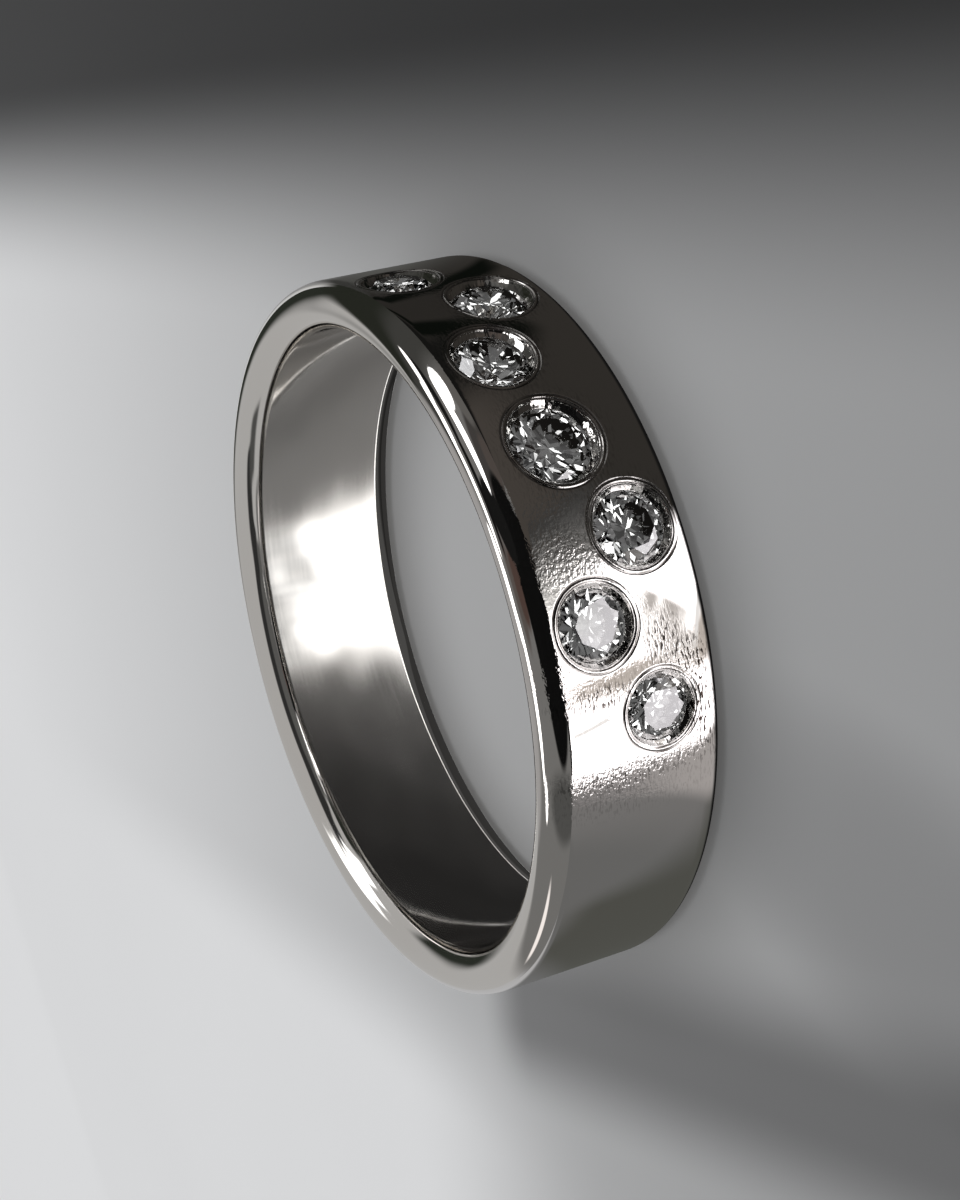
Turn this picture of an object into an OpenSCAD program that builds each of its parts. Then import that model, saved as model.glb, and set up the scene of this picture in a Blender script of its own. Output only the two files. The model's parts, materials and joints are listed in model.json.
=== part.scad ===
// Band ring of polished white metal with round brilliant stones set flush in its outer wall.
// Millimetres. The ring lies on its side: the finger hole's axis is Z, the lowest edge is at Z 0,
// and the largest stone faces -Y. The origin is the centre of the foot print.

/* [Band] */
// Finger hole diameter, a ladies' ring size of about 54 mm round
bore_d = 17.3; // [15:0.1:21]
// Width of the band, measured along the finger
band_w = 5.0; // [4.8:0.1:7]
// Thickness of the band's wall
wall = 1.3; // [1.3:0.05:1.8]

/* [Stones] */
// Diameter of the largest stone, the other ones follow from it
main_stone_d = 2.12; // [1.6:0.02:2.16]
// Table width as a part of the stone's diameter
table_part = 0.61; // [0.5:0.01:0.68]
// Height of the crown as a part of the stone's diameter
crown_part = 0.135; // [0.1:0.005:0.16]
// Thickness of the girdle as a part of the stone's diameter
girdle_part = 0.025; // [0.01:0.005:0.04]
// Depth of the pavilion as a part of the stone's diameter
pavilion_part = 0.42; // [0.38:0.01:0.44]
// How far the stones' tables lie below the top of the wall
table_sink = 0.02; // [0:0.01:0.1]

/* [Seats] */
// Diameter of the bright cut at the wall's surface as a part of the stone's diameter
rim_part = 1.235; // [1.1:0.005:1.3]
// How far the metal lip reaches in over the girdle
lip = 0.03; // [0.01:0.01:0.06]
// Clearance between a stone and its seat
clearance = 0.02; // [0.01:0.005:0.03]
// Diameter of the drilled hole behind a stone as a part of the stone's diameter
back_hole_part = 0.5; // [0.3:0.05:0.6]

/* [Hidden] */

bore_r = bore_d / 2;
outer_r = bore_r + wall;
edge_r = wall / 2;
mid_h = band_w / 2;
// Direction of the largest stone, about the finger hole's axis
front = -90;
// How far the tool that cuts a seat stands past the wall on both sides
overrun = 0.3;
// Sides that round forms are drawn with: the hoop, and the small rounds of seats and edges
hoop_sides = 180;
small_sides = 64;

// One row for each stone: angle along the band from the front, height above the middle of the
// width, size as a part of the largest stone's diameter, and turn of its facets about its own axis.
ANGLE = 0;
HEIGHT = 1;
SIZE = 2;
TURN = 3;
stones = [
    [43.0, 0.80, 0.85, 10],
    [30.4, -0.70, 0.92, 32],
    [16.5, 0.52, 0.90, 5],
    [0.0, 0.21, 1.00, 25],
    [-14.8, -0.92, 0.90, 30],
    [-27.0, 0.73, 0.87, -8],
    [-41.0, -0.67, 0.81, 20]
];

// Facets of a round brilliant: eight mains, and the girdle's arc along each half facet in steps
mains = 8;
step = 360 / mains;
arc_steps = 4;
girdle_sides = 2 * mains * arc_steps;
// How far the star facets and the lower halves reach, as a part of the way across
star_part = 0.5;
lower_half_part = 0.77;

function at(r, angle, z) = [r * cos(angle), r * sin(angle), z];

// Points and faces of a brilliant of radius r. Z 0 is the girdle's upper corner plane and the table
// faces +Z. Every facet is flat: the heights of its corners are worked out on its own plane.
function table_r(r) = r * table_part;
function crown_h(r) = 2 * r * crown_part;
function girdle_h(r) = 2 * r * girdle_part;
function pavilion_h(r) = 2 * r * pavilion_part;
// Radius and height of the star facets' tips, which lie on the planes of the crown mains
function star_r(r) = let (flat = table_r(r) * cos(step / 2)) flat + star_part * (r - flat);
function star_z(r) = crown_h(r) * (r - star_r(r) * cos(step / 2)) / (r - table_r(r));
// Radius and height of the lower halves' tips, which lie on the planes of the pavilion mains
function lower_r(r) = r * (1 - lower_half_part);
function lower_z(r) = -girdle_h(r) - pavilion_h(r) * (1 - lower_r(r) * cos(step / 2) / r);
// A half facet runs from a tip at radius tip_r and height tip_z to two girdle corners at height
// end_z. This is its height where the girdle stands out past the straight line between the two.
function half_facet_z(r, tip_r, tip_z, end_z, off) =
    let (
        chord = r * cos(step / 4),
        reach = r * cos(off),
        tip = tip_r * cos(step / 4)
    ) end_z + (tip_z - end_z) * (chord - reach) / (chord - tip);
// Angle of girdle point i from the middle of its own half facet
function off_middle(i) = (i % arc_steps - arc_steps / 2) * step / 2 / arc_steps;

function brilliant_points(r) = concat(
    [for (i = [0 : mains - 1]) at(table_r(r), i * step, crown_h(r))],
    [for (i = [0 : mains - 1]) at(star_r(r), (i + 0.5) * step, star_z(r))],
    [for (i = [0 : girdle_sides - 1])
        at(r, i * 360 / girdle_sides, half_facet_z(r, star_r(r), star_z(r), 0, off_middle(i)))],
    [for (i = [0 : girdle_sides - 1])
        at(r, i * 360 / girdle_sides,
           half_facet_z(r, lower_r(r), lower_z(r), -girdle_h(r), off_middle(i)))],
    [for (i = [0 : mains - 1]) at(lower_r(r), (i + 0.5) * step, lower_z(r))],
    [[0, 0, -girdle_h(r) - pavilion_h(r)]]
);

// Where each ring of points starts in the list, after the table's corners at 0
stars = mains;
girdle_top = stars + mains;
girdle_low = girdle_top + girdle_sides;
lowers = girdle_low + girdle_sides;
culet = lowers + mains;
function next(i) = (i + 1) % mains;
// Girdle point n places on from the corner of main i
function round_girdle(i, n) = (2 * i * arc_steps + n + girdle_sides) % girdle_sides;

brilliant_faces = concat(
    [[for (i = [mains - 1 : -1 : 0]) i]],
    [for (i = [0 : mains - 1]) [i, next(i), stars + i]],
    [for (i = [0 : mains - 1])
        [i, stars + i, girdle_top + round_girdle(i, 0), stars + (i + mains - 1) % mains]],
    [for (i = [0 : mains - 1], half = [0, 1])
        concat([stars + i],
               [for (n = [arc_steps : -1 : 0]) girdle_top + round_girdle(i, n + half * arc_steps)])],
    [for (n = [0 : girdle_sides - 1])
        let (m = (n + 1) % girdle_sides)
        [girdle_top + n, girdle_top + m, girdle_low + m, girdle_low + n]],
    [for (i = [0 : mains - 1], half = [0, 1])
        concat([lowers + i],
               [for (n = [0 : arc_steps]) girdle_low + round_girdle(i, n + half * arc_steps)])],
    [for (i = [0 : mains - 1])
        [culet, lowers + (i + mains - 1) % mains, girdle_low + round_girdle(i, 0), lowers + i]]
);

module brilliant(r) {
    polyhedron(points = brilliant_points(r), faces = brilliant_faces, convexity = 2);
}

function stone_r(row) = main_stone_d * row[SIZE] / 2;
// Depth of the girdle's upper corners below the wall's surface
function girdle_depth(r) = table_sink + crown_h(r);

// Puts a stone's own frame, Z outwards with its zero on the wall's surface, at its place
module on_wall(row) {
    rotate([0, 0, front + row[ANGLE]])
        translate([outer_r, 0, mid_h + row[HEIGHT]])
            rotate([0, 90, 0])
                rotate([0, 0, row[TURN]])
                    children();
}

module stone(number) {
    row = stones[number - 1];
    r = stone_r(row);
    color("aliceblue")
        on_wall(row)
            translate([0, 0, -girdle_depth(r)])
                brilliant(r);
}

// The tool that cuts one seat, in the stone's frame: a bevel at the surface, the lip, a way past
// the crown, the girdle's ledge, a cone along the pavilion and the drilled hole to the bore.
module seat(row) {
    r = stone_r(row);
    depth = girdle_depth(r);
    rim = r * rim_part;
    lip_r = r - lip;
    bearing_r = r + clearance;
    crown_slope = crown_h(r) / (r - table_r(r));
    lip_depth = depth - lip * crown_slope - 2 * clearance;
    bevel_slope = lip_depth / (rim - lip_r);
    ledge_depth = depth + girdle_h(r) + clearance;
    hole_r = r * back_hole_part;
    pavilion_slope = pavilion_h(r) / r;
    cone_depth = ledge_depth + (bearing_r - hole_r) * pavilion_slope;
    rotate_extrude($fn = small_sides)
        polygon([
            [0, overrun],
            [rim + overrun / bevel_slope, overrun],
            [lip_r, -lip_depth],
            [bearing_r, -depth + clearance],
            [bearing_r, -ledge_depth],
            [hole_r, -cone_depth],
            [hole_r, -wall - overrun],
            [0, -wall - overrun]
        ]);
}

// Half section of the band: straight bore and outer wall between two full round edges
module section() {
    translate([bore_r, edge_r])
        square([wall, band_w - 2 * edge_r]);
    for (h = [edge_r, band_w - edge_r])
        translate([bore_r + edge_r, h])
            circle(r = edge_r, $fn = small_sides);
}

module band() {
    color("gainsboro")
        difference() {
            rotate_extrude($fn = hoop_sides)
                section();
            for (row = stones)
                on_wall(row)
                    seat(row);
        }
}

band();
stone(1);  // stone_1
stone(2);  // stone_2
stone(3);  // stone_3
stone(4);  // stone_4
stone(5);  // stone_5
stone(6);  // stone_6
stone(7);  // stone_7
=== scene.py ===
"""Looks of a band ring with flush set stones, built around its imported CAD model.

The file is laid out as an add-on and is run as a script. Lengths inside the shape functions are
millimetres, and a mesh gets its metres when it is made. The ring lies on its side: the finger
hole's axis is Z, the surface that it lies on is Z 0 and the largest stone faces -Y.
"""

import json

import bpy
import numpy as np
from mathutils import Matrix, Vector


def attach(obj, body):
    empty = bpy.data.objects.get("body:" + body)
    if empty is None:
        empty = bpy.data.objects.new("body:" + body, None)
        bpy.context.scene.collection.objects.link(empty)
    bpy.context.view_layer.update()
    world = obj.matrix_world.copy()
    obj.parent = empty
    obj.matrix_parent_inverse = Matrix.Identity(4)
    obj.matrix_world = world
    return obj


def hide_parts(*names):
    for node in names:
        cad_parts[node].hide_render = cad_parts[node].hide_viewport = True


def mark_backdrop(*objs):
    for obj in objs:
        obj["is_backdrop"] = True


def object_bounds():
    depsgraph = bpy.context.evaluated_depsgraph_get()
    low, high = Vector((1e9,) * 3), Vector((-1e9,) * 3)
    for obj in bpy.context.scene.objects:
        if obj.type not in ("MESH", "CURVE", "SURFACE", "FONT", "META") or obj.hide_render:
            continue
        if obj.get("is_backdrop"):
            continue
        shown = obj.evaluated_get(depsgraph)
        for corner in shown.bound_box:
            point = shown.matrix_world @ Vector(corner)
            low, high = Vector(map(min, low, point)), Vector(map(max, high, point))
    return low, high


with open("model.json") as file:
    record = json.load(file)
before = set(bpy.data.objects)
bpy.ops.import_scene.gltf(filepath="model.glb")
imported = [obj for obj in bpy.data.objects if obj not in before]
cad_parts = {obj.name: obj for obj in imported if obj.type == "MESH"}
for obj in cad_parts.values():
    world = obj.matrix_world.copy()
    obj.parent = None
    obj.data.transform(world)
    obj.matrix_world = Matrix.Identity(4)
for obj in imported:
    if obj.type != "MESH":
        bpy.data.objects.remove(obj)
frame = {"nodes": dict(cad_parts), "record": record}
CAD_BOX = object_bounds()

bl_info = {
    "name": "Flush set band ring",
    "version": (1, 0, 0),
    "blender": (4, 5, 0),
    "location": "View3D > Sidebar > Ring",
    "description": "Builds the polished band, finishes the stones and sets up the studio",
    "category": "Object",
}

MM = 0.001
STONE_NAMES = [f"stone_{number}" for number in range(1, 8)]
SLOTS = {entry["slot"]: entry for entry in frame["record"]["materials"]}

# The band's section, a hair inside the CAD model's: outer radius, wall, width and full round edges
OUTER_R = 9.949
WALL = 1.298
BORE_R = OUTER_R - WALL
WIDTH = 4.996
EDGE_R = WALL / 2
EDGE_MID_R = OUTER_R - EDGE_R
MID_Z = 2.5
FLAT = WIDTH / 2 - EDGE_R
# Lengths walked round the section from the middle of the outer wall: the top edge starts at FLAT
BORE_START = FLAT + np.pi * EDGE_R
BORE_END = BORE_START + 2 * FLAT
BOTTOM_END = BORE_END + np.pi * EDGE_R
WAY_ROUND = BOTTOM_END + FLAT

# One row for each stone: angle from the front in degrees, height above mid width, radius
STONES = np.array(
    [
        [43.0, 0.80, 0.9010],
        [30.4, -0.70, 0.9752],
        [16.5, 0.52, 0.9540],
        [0.0, 0.21, 1.0600],
        [-14.8, -0.92, 0.9540],
        [-27.0, 0.73, 0.9222],
        [-41.0, -0.67, 0.8586],
    ]
)
FRONT = -90.0
# Parts of a stone's radius, and the small distances of its setting
RIM_PART = 1.235
CROWN_PART = 0.27
TABLE_PART = 0.61
GIRDLE_PART = 0.05
PAVILION_PART = 0.84
HOLE_PART = 0.5
TABLE_SINK = 0.02
LIP = 0.03
CLEARANCE = 0.02

# How finely the band is drawn
SEAT_STEPS = 192
CELL_RINGS = 10
BORE_ROWS = 13
EDGE_ROWS = 25
# From a seat's rim and from a drilled hole to the first ring of the cell round it, and how many
# degrees the seats' strip reaches past the first and the last stone
SEAT_MARGIN = 0.12
HOLE_MARGIN = 0.16
STRIP_PAST = 9.0
# The seats' strip of the outer wall, between two places on the way round the section
STRIP_LOW = -2.30
STRIP_HIGH = 2.15
STRIP_WAYS = np.concatenate(
    [
        np.linspace(STRIP_LOW, -FLAT, 6),
        np.linspace(-FLAT, FLAT, 21)[1:],
        np.linspace(FLAT, STRIP_HIGH, 5)[1:],
    ]
)
# How far the cutter wandered slowly and chattered quickly round a seat
WANDER = 0.010
CHATTER = 0.0035


def section(way):
    """Radius, height and the normal's two parts at a place on the band's section.

    The section is a stadium. The edges' half circles add to the turn of the normal, and the
    straight walls move the point up or down without turning it."""
    way = np.asarray(way, float) % WAY_ROUND
    turn = np.clip((way - FLAT) / EDGE_R, 0, np.pi) + np.clip((way - BORE_END) / EDGE_R, 0, np.pi)
    up = np.clip(way, 0, FLAT) + np.clip(way - BOTTOM_END, 0, FLAT)
    down = np.clip(way - BORE_START, 0, 2 * FLAT)
    height = MID_Z + up - down + EDGE_R * np.sin(turn)
    return EDGE_MID_R + EDGE_R * np.cos(turn), height, np.cos(turn), np.sin(turn)


def hoop(angle, way):
    """Points and outward normals of the band at an angle in degrees and a way round the section.

    A point of the section is carried round the Z axis on a circle of its own radius."""
    angle, way = np.broadcast_arrays(np.radians(angle), way)
    radius, height, out, rise = section(way)
    points = np.stack([radius * np.cos(angle), radius * np.sin(angle), height], -1)
    normals = np.stack([out * np.cos(angle), out * np.sin(angle), rise], -1)
    return points, normals


def wall_place(centre_angle, centre_z, across, up):
    """Angle and way on the outer wall of a point given in the plane that touches it at a centre.

    The height gives the place on the section and so the radius there. The distance across is a
    half chord of that radius, so its arc sine is the angle from the centre."""
    height = centre_z + up - MID_Z
    over = np.clip(np.abs(height) - FLAT, 0, EDGE_R)
    way = np.sign(height) * (np.minimum(np.abs(height), FLAT) + EDGE_R * np.arcsin(over / EDGE_R))
    radius = section(way)[0]
    return centre_angle + np.degrees(np.arcsin(across / radius)), way


def bore_place(centre_angle, centre_z, across, down):
    """The same on the bore, seen from the finger hole, where the way runs downwards."""
    angle = centre_angle + np.degrees(np.arcsin(across / BORE_R))
    return angle, BORE_START + (MID_Z + FLAT - centre_z) + down


class Skin:
    """Collects patches of one closed surface, as points with their normals and triangles."""

    def __init__(self):
        self.points, self.normals, self.values, self.faces, self.count = [], [], [], [], 0

    def add(self, points, normals, values=0.0):
        """Takes an array of points and returns the array of their numbers."""
        numbers = self.count + np.arange(points[..., 0].size).reshape(points.shape[:-1])
        self.points.append(points.reshape(-1, 3))
        self.normals.append(normals.reshape(-1, 3))
        self.values.append(np.broadcast_to(values, points.shape[:-1]).reshape(-1))
        self.count += numbers.size
        return numbers

    def grid(self, numbers, closed):
        """Faces between the rows of a grid of numbers. A closed grid's rows are rings."""
        nearer, further = numbers[:-1], numbers[1:]
        if closed:
            a, b, c, d = nearer, np.roll(nearer, -1, 1), np.roll(further, -1, 1), further
        else:
            a, b, c, d = nearer[:, :-1], nearer[:, 1:], further[:, 1:], further[:, :-1]
        self.faces.append(np.stack([a, b, c], -1).reshape(-1, 3))
        self.faces.append(np.stack([a, c, d], -1).reshape(-1, 3))

    def zip(self, inner, inner_turn, outer, outer_turn):
        """Faces between two rings of different counts. All turns are sorted together, and each
        point makes one triangle with the point before it on its own ring and the last point
        that was passed on the other ring."""
        turns = np.concatenate([inner_turn, outer_turn])
        order = np.argsort(turns, kind="stable")
        is_inner = order < len(inner)
        here_inner = (np.cumsum(is_inner) - 1) % len(inner)
        here_outer = (np.cumsum(~is_inner) - 1) % len(outer)
        i, j = here_inner[is_inner], here_outer[is_inner]
        self.faces.append(np.stack([inner[i - 1], outer[j], inner[i]], -1))
        i, j = here_inner[~is_inner], here_outer[~is_inner]
        self.faces.append(np.stack([outer[j - 1], outer[j], inner[i]], -1))

    def join(self):
        """Merges equal points and returns points, normals, values and faces of the whole skin."""
        points = np.concatenate(self.points)
        rounded = np.round(points * 1e6)
        _, first, number = np.unique(rounded, axis=0, return_index=True, return_inverse=True)
        faces = number.reshape(-1)[np.concatenate(self.faces)]
        a, b, c = faces.T
        faces = faces[(a != b) & (b != c) & (c != a)]
        normals, values = np.concatenate(self.normals)[first], np.concatenate(self.values)[first]
        return points[first], normals, values, faces


def sway(turn, seed, waves):
    """A value between about -1 and 1 that varies round a circle, a sum of a few sine waves."""
    draw = np.random.default_rng(seed)
    phases = draw.uniform(0, 2 * np.pi, len(waves))
    parts = draw.uniform(0.5, 1.0, len(waves))
    total = sum(part * np.sin(wave * turn + phase) for wave, phase, part in zip(waves, phases, parts))
    return total / np.sqrt(0.5 * np.sum(parts**2)) / 2


def seat_profile(stone_r):
    """Rows of one seat's profile from the outer wall to the bore: radius, depth, how far the depth
    is measured from the flat touching plane (0 is the curved wall) and from the bore, how much
    hand work shows, and how much polish residue and painted shade darken the metal there."""
    rim = stone_r * RIM_PART
    girdle = TABLE_SINK + stone_r * CROWN_PART
    slope = CROWN_PART / (1 - TABLE_PART)
    lip_r = stone_r - LIP
    lip_z = girdle - LIP * slope - 0.012
    bearing_r = stone_r + CLEARANCE
    ledge = girdle + stone_r * GIRDLE_PART + CLEARANCE
    hole_r = stone_r * HOLE_PART
    cone_end = ledge + (bearing_r - hole_r) * PAVILION_PART
    # The last column is polish residue together with painted shade in the grooves and under the stone
    lines = [
        [rim + 0.085, 0.000, 0, 0, 0, 0],
        [rim + 0.062, 0.000, 0, 0, 0.3, 0.1],
        [rim + 0.050, 0.010, 0, 0, 0.6, 0.8],
        [rim + 0.030, 0.033, 0, 0, 0.8, 1],
        [rim + 0.008, 0.035, 0, 0, 0.8, 1],
        [rim - 0.008, 0.020, 0, 0, 0.8, 0.5],
        [rim - 0.022, 0.003, 0, 0, 0.8, 0],
        [rim - 0.040, 0.000, 0, 0, 0.8, 0],
        [rim - 0.052, 0.008, 0, 0, 0.8, 0.4],
        [rim - 0.064, 0.034, 0, 0, 0.8, 1],
        [rim - 0.086, 0.054, 0, 0, 0.8, 1],
        [rim - 0.104, 0.056, 0, 0, 0.9, 0.8],
    ]
    t = np.linspace(0, 1, 9)
    bevel_r, bevel_z = rim - 0.114, 0.057
    radius = bevel_r + t * (lip_r + 0.010 - bevel_r)
    depth = bevel_z + t * (lip_z - 0.012 - bevel_z) + 0.012 * np.sin(np.pi * t)
    bevel = np.stack([radius, depth, t, 0 * t, 1.0 - 0.4 * t, 0 * t], -1)
    hidden = [
        [lip_r + 0.002, lip_z - 0.003, 1, 0, 0.4, 0.2],
        [lip_r, lip_z + 0.004, 1, 0, 0.2, 0.6],
        [lip_r + 0.010, lip_z + 0.016, 1, 0, 0, 1],
        [bearing_r, girdle - 0.004, 1, 0, 0, 1],
        [bearing_r, ledge - 0.004, 1, 0, 0, 1],
        [bearing_r - 0.004, ledge, 1, 0, 0, 0.6],
        [0.5 * (bearing_r + hole_r), 0.5 * (ledge + cone_end), 1, 0, 0, 0.3],
        [hole_r + 0.010, cone_end - 0.008, 1, 0, 0, 0.3],
        [hole_r, cone_end + 0.006, 1, 0, 0, 0.3],
        [hole_r, -0.160, 0, 1, 0, 0.3],
        [hole_r, -0.040, 0, 1, 0, 0.3],
        [hole_r + 0.004, -0.020, 0, 1, 0, 0.2],
        [hole_r + 0.014, -0.006, 0, 1, 0, 0],
        [hole_r + 0.030, -0.001, 0, 1, 0, 0],
        [hole_r + 0.050, 0.000, 0, 1, 0, 0],
    ]
    return np.concatenate([lines, bevel, hidden])


def seat(row, seed):
    """Points, normals, and the polish residue and painted shade of one seat, as a grid of rings.

    Each ring is a circle about the stone's axis, which runs through the middle of the band. Its
    depth is taken from the curved wall at the surface, from the flat plane at the stone and from
    the bore at the drilled hole's end. The cutter's chatter moves radius and depth by sums of
    sine waves. The normals are cross products of the steps along and across the rings."""
    stone_angle, stone_up, stone_r = row
    turn = np.arange(SEAT_STEPS) * 2 * np.pi / SEAT_STEPS
    profile = seat_profile(stone_r)[:, :, None]
    radius, depth, flat, bore, work, residue_and_shade = profile.transpose(1, 0, 2)
    slow = sway(turn, seed, (1, 2, 3, 5))
    chatter = sway(turn, seed + 50, (17, 23, 31, 37, 43, 59, 71))
    fade = 0.65 + 0.35 * sway(turn, seed + 100, (1, 2, 4, 7))
    radius = radius + work * (WANDER * slow + CHATTER * chatter)
    depth = np.where(flat + bore == 0, depth * fade, depth) + work * flat * CHATTER * chatter
    across, up = radius * np.cos(turn), radius * np.sin(turn)
    over = np.clip(np.abs(stone_up + up) - FLAT, 0, EDGE_R)
    wall_r = EDGE_MID_R + np.sqrt(EDGE_R**2 - over**2)
    wall_depth = OUTER_R - np.sqrt(wall_r**2 - across**2)
    bore_depth = OUTER_R - np.sqrt(BORE_R**2 - across**2)
    depth = depth + (1 - flat) * (1 - bore) * wall_depth + bore * bore_depth
    angle = np.radians(FRONT + stone_angle)
    out = np.array([np.cos(angle), np.sin(angle), 0])
    along = np.array([-np.sin(angle), np.cos(angle), 0])
    points = (OUTER_R - depth)[..., None] * out + across[..., None] * along
    points = points + (MID_Z + stone_up + up)[..., None] * np.array([0, 0, 1])
    round_step = np.roll(points, -1, 1) - np.roll(points, 1, 1)
    normals = np.cross(round_step, np.gradient(points, axis=0))
    normals /= np.linalg.norm(normals, axis=-1, keepdims=True)
    return points, normals, np.broadcast_to(residue_and_shade * np.clip(fade, 0, 1), points.shape[:-1]), turn


def cell(skin, inner, inner_turn, centre, ring_r, place, outline):
    """One cell of a wall round a seat or a drilled hole.

    Rays run from the centre to the points of the cell's outline. A ring at a fixed distance is
    stitched to the hole's own ring, and from there the points move along the rays in even steps
    of angle and way until they lie on the outline, which the next cell shares."""
    angle, way = outline
    centre_angle, centre_z, centre_way, scale = centre
    turn = np.arctan2(way - centre_way, np.radians(angle - centre_angle) * scale) % (2 * np.pi)
    first = int(np.argmin(turn))
    angle, way, turn = np.roll(angle, -first), np.roll(way, -first), np.roll(turn, -first)
    if np.any(np.diff(turn) <= 0):
        raise ValueError("a cell's outline can't be seen from its stone")
    ring_angle, ring_way = place(centre_angle, centre_z, ring_r * np.cos(turn), ring_r * np.sin(turn))
    t = np.linspace(0, 1, CELL_RINGS)[:, None]
    points, normals = hoop(ring_angle + t * (angle - ring_angle), ring_way + t * (way - ring_way))
    points[-1], normals[-1] = hoop(angle, way)
    numbers = skin.add(points, normals)
    skin.grid(numbers[::-1], True)
    skin.zip(inner, inner_turn, numbers[0], turn)


def closed_outline(low, high, ways):
    """Points round a cell, anticlockwise: along the low way, up the higher side, back along the
    high way and down the lower side. Each side gives its angle at every way."""
    bottom = np.arange(round(low[0]), round(high[0]))
    top = np.arange(round(high[-1]), round(low[-1]), -1)
    angle = np.concatenate([bottom, high[:-1], top, low[:0:-1]])
    way = np.concatenate([0 * bottom + ways[0], ways[:-1], 0 * top + ways[-1], ways[:0:-1]])
    return angle.astype(float), way


def strip_borders():
    """The lines between neighbouring cells on the outer wall, as angles at STRIP_WAYS.

    Near the two rims a line runs at right angles to the line between their centres, and past
    them it goes straight on, ending on a whole degree."""
    rows = STONES[np.argsort(STONES[:, 0])]
    borders = [np.full(len(STRIP_WAYS), FRONT + rows[0, 0] - STRIP_PAST)]
    for lower, higher in zip(rows[:-1], rows[1:]):
        rims = RIM_PART * lower[2], RIM_PART * higher[2]
        x = np.radians([lower[0], higher[0]]) * OUTER_R
        gap = np.hypot(x[1] - x[0], higher[1] - lower[1])
        part = (rims[0] + (gap - sum(rims)) / 2) / gap
        mid_angle = FRONT + lower[0] + part * (higher[0] - lower[0])
        mid_way = lower[1] + part * (higher[1] - lower[1])
        lean = np.degrees(-(higher[1] - lower[1]) / (x[1] - x[0]) / OUTER_R)
        ends = np.round(mid_angle - lean), np.round(mid_angle + lean)
        ways = [STRIP_LOW, mid_way - 1, mid_way, mid_way + 1, STRIP_HIGH]
        borders.append(np.interp(STRIP_WAYS, ways, [ends[0], ends[0], mid_angle, ends[1], ends[1]]))
    borders.append(np.full(len(STRIP_WAYS), np.round(FRONT + rows[-1, 0] + STRIP_PAST)))
    return borders


def band_skin():
    """The whole band: seven seats, the cells round them on the wall and in the bore, and plain
    grids of angle and way for the rest of the hoop and for its two round edges."""
    skin = Skin()
    order = np.argsort(STONES[:, 0])
    borders = strip_borders()
    bore_ways = np.linspace(BORE_START, BORE_END, BORE_ROWS)
    middles = 0.5 * (STONES[order[:-1], 0] + STONES[order[1:], 0]) + FRONT
    starts = [round(angle) for angle in (borders[0][0], *middles, borders[-1][0])]
    for place, number in enumerate(order):
        row = STONES[number]
        points, normals, residue_and_shade, turn = seat(row, 7 * (number + 1))
        rings = skin.add(points, normals, residue_and_shade)
        skin.grid(rings, True)
        angle, z = FRONT + row[0], MID_Z + row[1]
        outline = closed_outline(borders[place], borders[place + 1], STRIP_WAYS)
        ring_r = row[2] * RIM_PART + SEAT_MARGIN
        cell(skin, rings[0], turn, (angle, z, row[1], OUTER_R), ring_r, wall_place, outline)
        sides = [np.full(len(bore_ways), float(start)) for start in starts[place : place + 2]]
        outline = closed_outline(*sides, bore_ways)
        back_turn = -turn % (2 * np.pi)
        back = np.argsort(back_turn)
        centre = (angle, z, BORE_START + FLAT - row[1], BORE_R)
        ring_r = row[2] * HOLE_PART + HOLE_MARGIN
        cell(skin, rings[-1][back], back_turn[back], centre, ring_r, bore_place, outline)
    rest = (np.arange(starts[-1], starts[0] + 361) + 180.0) % 360 - 180
    for ways in (STRIP_WAYS, bore_ways):
        skin.grid(skin.add(*hoop(rest, ways[:, None])), False)
    for start, end in ((STRIP_HIGH, BORE_START), (BORE_END, STRIP_LOW + WAY_ROUND)):
        ways = np.linspace(start, end, EDGE_ROWS)
        skin.grid(skin.add(*hoop(np.arange(-180.0, 180.0), ways[:, None])), True)
    return skin.join()


# Patches of the wall where the setting's hand work left its marks: angle from the front in degrees,
# height above mid width, how far the patch reaches both ways in degrees and in mm, and strength
GRAIN = np.array(
    [
        [-31.5, -1.00, 4.5, 0.60, 1.0],
        [-34.0, -1.60, 3.2, 0.55, 1.3],
        [-42.5, -1.80, 7.0, 0.45, 1.6],
        [-49.0, 0.00, 2.4, 2.60, 0.8],
        [-53.0, 0.00, 2.5, 2.60, 0.25],
        [-37.2, 0.90, 2.0, 1.30, 1.0],
        [-43.2, 1.00, 1.2, 0.90, 0.5],
    ]
)
DIMPLES = np.array(
    [
        [-17.5, 1.20, 5.0, 1.00, 1.0],
        [-35.0, -1.50, 3.0, 0.60, 1.2],
        [-33.0, 1.90, 3.5, 0.60, 0.8],
        [-49.8, 0.00, 3.5, 2.60, 0.6],
        [-8.0, 1.20, 4.0, 0.90, 0.5],
    ]
)
# Strength of the marks round each rim, and how many millimetres they reach
RIM_MARKS = 0.3
RIM_REACH = 0.3


def patch_strength(points, patches):
    """How strong the marks are at each point: flat topped bell curves over the patches, and a
    weaker one round each rim. Both are faded out over the round edges."""
    angle = np.degrees(np.arctan2(points[:, 1], points[:, 0]))[:, None] - FRONT
    height = points[:, 2:] - MID_Z
    off = ((angle - patches[:, 0] + 180) % 360 - 180) / patches[:, 2]
    bells = np.exp(-((off**2 + ((height - patches[:, 1]) / patches[:, 3]) ** 2) ** 2))
    across = np.radians((angle - STONES[:, 0] + 180) % 360 - 180) * OUTER_R
    away = np.hypot(across, height - STONES[:, 1]) - RIM_PART * STONES[:, 2]
    rims = RIM_MARKS * np.exp(-((np.clip(away, 0, None) / RIM_REACH) ** 2))
    radius = np.hypot(points[:, 0], points[:, 1])
    fade = np.clip((radius - EDGE_MID_R) / (0.8 * EDGE_R), 0, 1)
    return fade * np.maximum((patches[:, 4] * bells).max(1), rims.max(1))


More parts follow.
